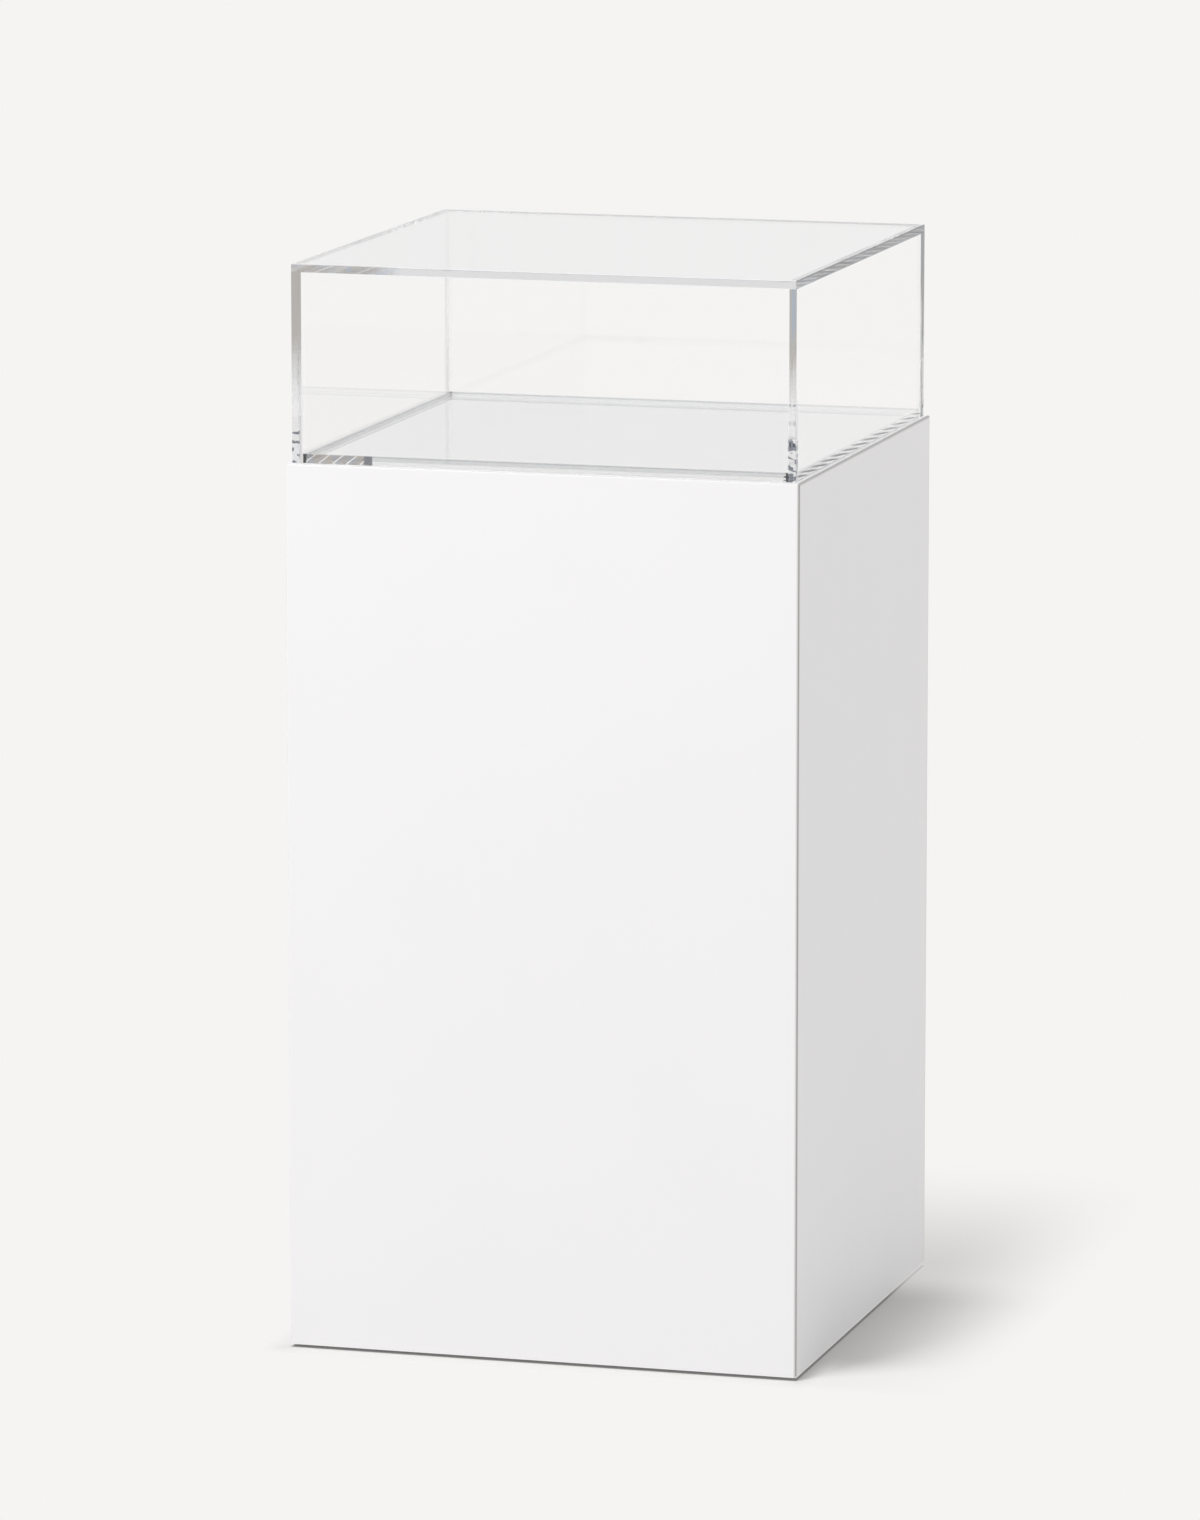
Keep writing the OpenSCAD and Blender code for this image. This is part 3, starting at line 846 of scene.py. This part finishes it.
studio = {
    "backdrop": (0.913, 0.905, 0.896),   # what the camera sees past the floor
    "floor": (0.772, 0.763, 0.756),
    "floorMottle": 0.004,                # share by which it drifts either way
    "floorScale": 3.0,
    "underShare": 0.55,                  # painted shade: how much of its colour the floor keeps under the plinth
    "floorReach": 90.0,
    "shadeRight": 0.18,                  # how far from the plinth the floor's shade reaches, in metres
    "shadeLeft": 0.03,
    "shadeFront": 0.035,
    "shadeStep": (0.09, 0.21),           # places behind the middle where it loses its first part
    "shadeStepShare": 0.42,
    "shadeTail": (0.15, 0.75),           # and where it loses the rest
    "bounce": (0.83, 0.82, 0.81),        # the floor as the object's own surfaces see it
    "bounceShare": 0.5,                  # share of its shade that they don't see
    "cornerReach": 0.11,                 # length beside the near corner where the shade is thinner
    "cornerShare": 0.65,
    "cornerFades": 0.02,                 # how far from the right side that sets in, in metres
    "soft": 0.50,                        # even light from all round
    "key": 0.712,                        # the key's light on a face that looks straight at it
    "keyTowards": (-0.41, -0.56, 0.73),
    "keyDistance": 10.0,
    "keySize": 4.0,
    "fill": 0.17,
    "fillTowards": (1.0, -0.15, 0.04),
    "fillAngle": 30,                     # how wide the fill looks from the object, in degrees
    "skyBegins": (0.085, 0.115),         # sines of the elevations where the backdrop ends
    "sky": (0.87, 0.87, 0.87),           # what glass and lacquer show of the studio above it
    "edgeBounces": 2.5,                  # light that bounced more often in a sheet comes out of an edge
    "edgeKeeps": 0.985,                  # share of its light that each bounce keeps
    "edgeLeast": 0.75,                   # and the least that is left
    "edgeSkyRise": (0.112, 0.142),       # sines of the elevations between which the edges' sky dims
    "edgeSkyLow": (0.84, 0.84, 0.84),
    "edgeSkyHigh": (0.66, 0.66, 0.66),
    "edgeSkyBack": (0.30, 0.45),         # and those between which it is bright again
    "edgeSkyTop": (0.95, 0.95, 0.95),
    "paperEnds": (6.9, 7.5),             # where the pale floor ends behind, in metres
    "clutterScale": 160.0,               # how fine the room's things are, seen from the case
    "roomCool": (0.50, 0.54, 0.60),
    "roomWarm": (0.58, 0.555, 0.52),
    "roomDark": (0.20, 0.23, 0.28),
    "warmLevels": (0.44, 0.50),          # levels of the noise between which cool things turn warm
    "darkLevels": (0.60, 0.68),          # and those between which they turn dark
    "frontDark": 0.45,                   # share of its light that the room has in front
    "frontFades": (-0.3, 0.2),           # directions to the back between which it is no longer in front
    "rightFades": (-0.10, 0.12),         # directions to the right between which the room sets in
    "roomTop": (0.25, 0.40),             # sines of the elevations where the room ends
    "roomFrom": (1.5, 3.0),              # where the room's floor begins, in metres before the case
}


# The room past the backdrop, as the polished edges show it: cool and warm greys with dark things
# among them, and all of it darker in front.
def makeRoom(paint, way, front):
    clutter = paint.noise(way, studio["clutterScale"], detail=1.0)
    tints = [np.array(studio[name]) for name in ("roomCool", "roomWarm", "roomDark")]
    layers = []
    for share in (1.0, studio["frontDark"]):
        cool, warm, dark = (tint * share for tint in tints)
        room = paint.blend(clutter.smooth(*studio["warmLevels"]), cool, warm)
        layers.append(paint.blend(clutter.smooth(*studio["darkLevels"]), room, dark))
    return paint.blend(front, *layers)


# How much of its light reaches the eye after its bounces in a sheet, and whether it left by an edge.
def makeEdgeLight(paint):
    mirrored = paint.path("Glossy Depth")
    atEdge = mirrored.isOver(studio["edgeBounces"])
    kept = (studio["edgeKeeps"] ** mirrored).atLeast(studio["edgeLeast"])
    return atEdge, 1 - atEdge * (1 - kept)


# Where the floor's own light and shade show: near the foot and where the shadow falls.
def makeShade(x, y, matt):
    shade = (x - halfWidth).fade(0.0, studio["shadeRight"])
    shade = shade * (-1 * x - halfWidth).fade(0.0, studio["shadeLeft"])
    shade = shade * (-1 * y - halfDepth).fade(0.0, studio["shadeFront"])
    step = studio["shadeStepShare"]
    behind = y.smooth(*studio["shadeStep"]) * step + y.smooth(*studio["shadeTail"]) * (1 - step)
    nearCorner = (x - halfWidth).smooth(0.0, studio["cornerFades"])
    nearCorner = nearCorner * (y + halfDepth).fade(0.0, studio["cornerReach"])
    shade = shade * (1 - behind) * (1 - nearCorner * studio["cornerShare"])
    return shade * (1 - matt * studio["bounceShare"])


def makeFloor():
    material, paint = newPaint("studio_floor")
    point = paint.objectPoint()
    x, y, z = paint.axes(point)
    cloud = paint.noise(point, studio["floorScale"], detail=3.0)
    base = np.array(studio["floor"])
    mottle = studio["floorMottle"]
    colour = paint.blend(cloud, base * (1 - mottle), base * (1 + mottle))
    # painted shade: the floor under the plinth is darker, so the gap under its foot shows dark
    underShade = (halfWidth - abs(x)).isOver(0.0) * (halfDepth - abs(y)).isOver(0.0)
    colour = paint.blend(underShade, colour, base * studio["underShare"])
    lit = paint.node("ShaderNodeBsdfDiffuse", {}, {"Color": colour})
    # Light from a sheet's edge shows the room where the pale floor has ended.
    atEdge, kept = makeEdgeLight(paint)
    before = (-1 * y).smooth(*studio["roomFrom"])
    past = ((x * x + y * y) ** 0.5).smooth(*studio["paperEnds"]).atLeast(before)
    way = paint.node("ShaderNodeVectorMath", {"operation": "NORMALIZE"}, {0: point})
    seen = paint.blend(atEdge * past, studio["backdrop"], makeRoom(paint, way, before))
    matt = paint.path("Is Diffuse Ray")
    even = paint.node("ShaderNodeEmission", {}, {
        "Color": paint.blend(matt, seen, studio["bounce"]), "Strength": kept})
    shade = makeShade(x, y, matt)
    paint.surface(paint.node("ShaderNodeMixShader", {}, {0: 1 - shade, 1: lit, 2: even}))
    points = np.array([[-1, -1, 0], [1, -1, 0], [1, 1, 0], [-1, 1, 0]]) * studio["floorReach"]
    floor = addPiece("studio_floor", points, [[0, 1, 2, 3]], material)


def makeWorld():
    world = bpy.data.worlds.new("studio")
    bpy.context.scene.world = world
    paint = Paint(world)
    way = paint.node("ShaderNodeTexCoord", {}, {}, "Generated")
    x, y, up = paint.axes(way)
    lit = paint.path("Diffuse Depth").isOver(0.5)
    atEdge, kept = makeEdgeLight(paint)
    front = y.fade(*studio["frontFades"])
    pale = paint.blend(up.smooth(*studio["edgeSkyRise"]), studio["edgeSkyLow"], studio["edgeSkyHigh"])
    pale = paint.blend(up.smooth(*studio["edgeSkyBack"]), pale, studio["edgeSkyTop"])
    aside = x.smooth(*studio["rightFades"]).atLeast(front) * up.fade(*studio["roomTop"])
    edgeSky = paint.blend(aside, pale, makeRoom(paint, way, front))
    sky = paint.blend(up.smooth(*studio["skyBegins"]), studio["backdrop"], studio["sky"])
    seen = paint.blend(atEdge * up.isOver(0.0), sky, edgeSky)
    colour = paint.blend(lit, seen, grey(studio["soft"]))
    background = paint.node("ShaderNodeBackground", {}, {"Color": colour, "Strength": kept})
    paint.node("ShaderNodeOutputWorld", {}, {"Surface": background})


# Places a lamp that shines from the given direction at the middle of the object.
def placeLamp(name, kind, towards, distance, energy):
    lamp = bpy.data.lights.new(name, kind)
    lamp.energy = energy
    holder = bpy.data.objects.new(name, lamp)
    way = Vector(towards).normalized()
    holder.location = way * distance + (cadBox[0] + cadBox[1]) / 2
    holder.rotation_mode = "QUATERNION"
    holder.rotation_quaternion = way.to_track_quat("Z", "Y")
    holder.visible_transmission = False    # no image of the lamp shows in the clear sheets
    bpy.context.scene.collection.objects.link(holder)
    return lamp


def makeLamps():
    # An area lamp of P watts gives P / (pi * distance squared) on a face that looks straight at it.
    distance = studio["keyDistance"]
    power = studio["key"] * math.pi * math.pi * distance ** 2
    key = placeLamp("key", "AREA", studio["keyTowards"], distance, power)
    key.size = studio["keySize"]
    fill = placeLamp("fill", "SUN", studio["fillTowards"], distance, studio["fill"] * math.pi)
    fill.angle = math.radians(studio["fillAngle"])


view = {
    "yaw": 16.036,               # degrees to the right of the front
    "pitch": 9.826,              # degrees down
    "distance": 8.519,
    "focalPixels": 8822.0,       # for a picture of the height below
    "pictureHeight": 1520,
    "sensor": 36.0,              # in millimetres
    "clipEnd": 200.0,
    "aimRight": -0.0134,
    "aimHeight": 0.5402,
}


def makeCamera():
    yaw = math.radians(view["yaw"])
    pitch = math.radians(view["pitch"])
    right = Vector((math.cos(yaw), math.sin(yaw), 0))
    forward = Vector((-math.sin(yaw) * math.cos(pitch), math.cos(yaw) * math.cos(pitch), -math.sin(pitch)))
    lens = bpy.data.cameras.new("camera")
    lens.sensor_width = view["sensor"]
    lens.lens = view["focalPixels"] / view["pictureHeight"] * view["sensor"]
    lens.clip_end = view["clipEnd"]
    camera = bpy.data.objects.new("camera", lens)
    aim = right * view["aimRight"] + Vector((0, 0, view["aimHeight"]))
    camera.location = aim - forward * view["distance"]
    camera.rotation_mode = "QUATERNION"
    camera.rotation_quaternion = forward.to_track_quat("-Z", "Y")
    bpy.context.scene.collection.objects.link(camera)
    bpy.context.scene.camera = camera


bounces = {
    "inSheets": 100,             # enough for light that is led inside a sheet from edge to edge
    "straight": 40,              # clear surfaces that one lamp's ray may pass
}


def setRender():
    scene = bpy.context.scene
    scene.view_settings.view_transform = "Standard"
    scene.cycles.max_bounces = bounces["inSheets"]
    scene.cycles.transmission_bounces = bounces["inSheets"]
    scene.cycles.glossy_bounces = bounces["inSheets"]
    scene.cycles.transparent_max_bounces = bounces["straight"]


makeCamera()
print("camera placed")
lacquerMaterial = makeLacquer()
makePanels(lacquerMaterial)
print("panels made")
acrylicMaterial = makeAcrylic()
makeCover(acrylicMaterial)
makeStrips()
makePlate(acrylicMaterial)
print("cover, strips and plate made")
finishNodes()
print("packed nodes finished")
makeFloor()
makeWorld()
makeLamps()
print("studio lit")

setRender()
